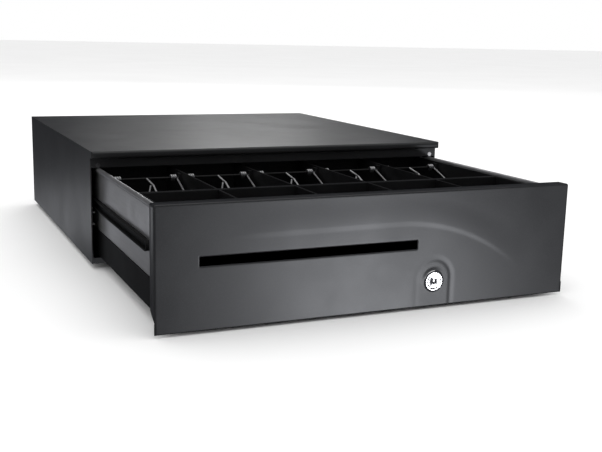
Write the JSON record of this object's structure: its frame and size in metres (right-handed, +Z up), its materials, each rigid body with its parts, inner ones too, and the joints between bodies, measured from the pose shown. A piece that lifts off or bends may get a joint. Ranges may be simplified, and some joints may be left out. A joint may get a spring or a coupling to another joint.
{
  "type": "cash drawer",
  "caption": "Low steel cash drawer, open: sliding drawer with media slot and key lock, coin cups and bill bays with wire hold-downs in a rounded-nose cabinet.",
  "frame": {"origin": "middle of the rectangle covered by the cabinet and the open drawer, at the underside of the feet", "axes": "+X to the right seen from the front, +Y to the rear, +Z up; the drawer opens along -Y"},
  "size_m": [0.412, 0.649, 0.125],
  "materials": {
    "case_paint": "fine-texture black powder coat",
    "panel_paint": "fine-texture black powder coat, slightly smoother",
    "grey_zinc": "zinc-plated sheet, dull",
    "black_steel": "black enamel on rolled channel",
    "rubber": "matt black rubber",
    "bright_steel": "turned and plated steel",
    "spring_wire": "drawn steel wire",
    "chrome": "polished nickel-chrome plate",
    "nylon": "natural nylon",
    "black_plastic": "moulded black ABS, light texture",
    "red_plastic": "moulded plastic",
    "coil_wrap": "yellow wrap over copper winding",
    "board_green": "solder-masked board"
  },
  "bodies": {
    "cabinet": {"cabinet_shell": "case_paint", "feet": "rubber", "foot_screws": "bright_steel", "base_pan": "case_paint", "rear_screws": "bright_steel", "rear_panel": "case_paint", "front_band": "case_paint", "guide_buttons": "bright_steel", "cabinet_rail_right": "grey_zinc", "cabinet_rail_left": "grey_zinc", "front_roller_stud_right": "bright_steel", "front_roller_stud_left": "bright_steel", "latch_bracket": "grey_zinc", "latch_pin": "bright_steel", "solenoid_coil": "coil_wrap", "solenoid_yoke": "grey_zinc", "latch_spring": "spring_wire", "ejector_bracket": "grey_zinc", "ejector_guide": "bright_steel", "ejector_spring": "spring_wire", "switch_body": "black_plastic", "board_posts": "nylon", "circuit_board": "board_green", "interface_jack": "black_plastic"},
    "drawer": {"panel_screws": "bright_steel", "drawer_pan": "case_paint", "drawer_side_right": "grey_zinc", "drawer_side_left": "grey_zinc", "drawer_back": "grey_zinc", "drawer_rail_right": "black_steel", "drawer_rail_left": "black_steel", "rear_roller_stud_right": "bright_steel", "rear_roller_stud_left": "bright_steel", "till_ledge_right": "grey_zinc", "till_ledge_left": "grey_zinc", "front_panel": "panel_paint", "lock_body": "chrome", "lock_nut": "bright_steel", "latch_strike": "grey_zinc", "till_body": "black_plastic", "hold_down_clips": "black_plastic"},
    "lock": {"lock_plug": "chrome", "lock_cam": "bright_steel", "cam_screw": "bright_steel"},
    "coin_tray": {"coin_tray": "black_plastic"},
    "hook": {"latch_hook": "bright_steel"},
    "plunger": {"solenoid_plunger": "bright_steel"},
    "switch_key": {"switch_button": "red_plastic"},
    "front_roller_right": {"front_roller_right": "nylon"},
    "front_roller_left": {"front_roller_left": "nylon"},
    "rear_roller_right": {"rear_roller_right": "nylon"},
    "rear_roller_left": {"rear_roller_left": "nylon"},
    "hold_down_1": {"hold_down_1": "spring_wire"},
    "hold_down_2": {"hold_down_2": "spring_wire"},
    "hold_down_3": {"hold_down_3": "spring_wire"},
    "hold_down_4": {"hold_down_4": "spring_wire"},
    "hold_down_5": {"hold_down_5": "spring_wire"}
  },
  "joints": [
    {"name": "drawer_slide", "type": "slide", "parent": "cabinet", "child": "drawer", "axis": [0, -1, 0], "range_m": [-0.23, 0]},
    {"name": "hold_down_hinge_1", "type": "hinge", "parent": "drawer", "child": "hold_down_1", "pos_m": [-0.155, -0.105, 0.098], "axis": [-1, 0, 0], "range_deg": [0, 75]},
    {"name": "hold_down_hinge_2", "type": "hinge", "parent": "drawer", "child": "hold_down_2", "pos_m": [-0.078, -0.105, 0.098], "axis": [-1, 0, 0], "range_deg": [0, 75]},
    {"name": "hold_down_hinge_3", "type": "hinge", "parent": "drawer", "child": "hold_down_3", "pos_m": [0, -0.105, 0.098], "axis": [-1, 0, 0], "range_deg": [0, 75]},
    {"name": "hold_down_hinge_4", "type": "hinge", "parent": "drawer", "child": "hold_down_4", "pos_m": [0.078, -0.105, 0.098], "axis": [-1, 0, 0], "range_deg": [0, 75]},
    {"name": "hold_down_hinge_5", "type": "hinge", "parent": "drawer", "child": "hold_down_5", "pos_m": [0.155, -0.105, 0.098], "axis": [-1, 0, 0], "range_deg": [0, 75]},
    {"name": "coin_tray_lift", "type": "slide", "parent": "drawer", "child": "coin_tray", "axis": [0, 0, 1], "range_m": [0, 0.06]},
    {"name": "lock_turn", "type": "hinge", "parent": "drawer", "child": "lock", "pos_m": [0.058, -0.323, 0.0265], "axis": [0, 1, 0], "range_deg": [0, 90]},
    {"name": "hook_lift", "type": "hinge", "parent": "cabinet", "child": "hook", "pos_m": [0, 0.283, 0.042], "axis": [-1, 0, 0], "range_deg": [0, 12], "stiffness_Nm_per_rad": 0.05},
    {"name": "plunger_pull", "type": "slide", "parent": "cabinet", "child": "plunger", "axis": [0, 0, -1], "range_m": [0, 0.0039]},
    {"name": "switch_press", "type": "slide", "parent": "cabinet", "child": "switch_key", "axis": [0, 1, 0], "range_m": [0, 0.0015], "stiffness_N_per_m": 200},
    {"name": "front_roller_spin_right", "type": "hinge", "parent": "cabinet", "child": "front_roller_right", "pos_m": [0.19985, -0.035, 0.0683], "axis": [1, 0, 0], "continuous": true},
    {"name": "rear_roller_spin_right", "type": "hinge", "parent": "drawer", "child": "rear_roller_right", "pos_m": [0.2018, -0.001, 0.053], "axis": [1, 0, 0], "continuous": true},
    {"name": "front_roller_spin_left", "type": "hinge", "parent": "cabinet", "child": "front_roller_left", "pos_m": [-0.19985, -0.035, 0.0683], "axis": [1, 0, 0], "continuous": true},
    {"name": "rear_roller_spin_left", "type": "hinge", "parent": "drawer", "child": "rear_roller_left", "pos_m": [-0.2018, -0.001, 0.053], "axis": [1, 0, 0], "continuous": true}
  ],
  "couplings": [
    {"joint": "plunger_pull", "follows": "hook_lift", "m_per_rad": 0.018},
    {"joint": "front_roller_spin_right", "follows": "drawer_slide", "rad_per_m": 294.12},
    {"joint": "rear_roller_spin_right", "follows": "drawer_slide", "rad_per_m": 185.19},
    {"joint": "front_roller_spin_left", "follows": "drawer_slide", "rad_per_m": 294.12},
    {"joint": "rear_roller_spin_left", "follows": "drawer_slide", "rad_per_m": 185.19}
  ]
}
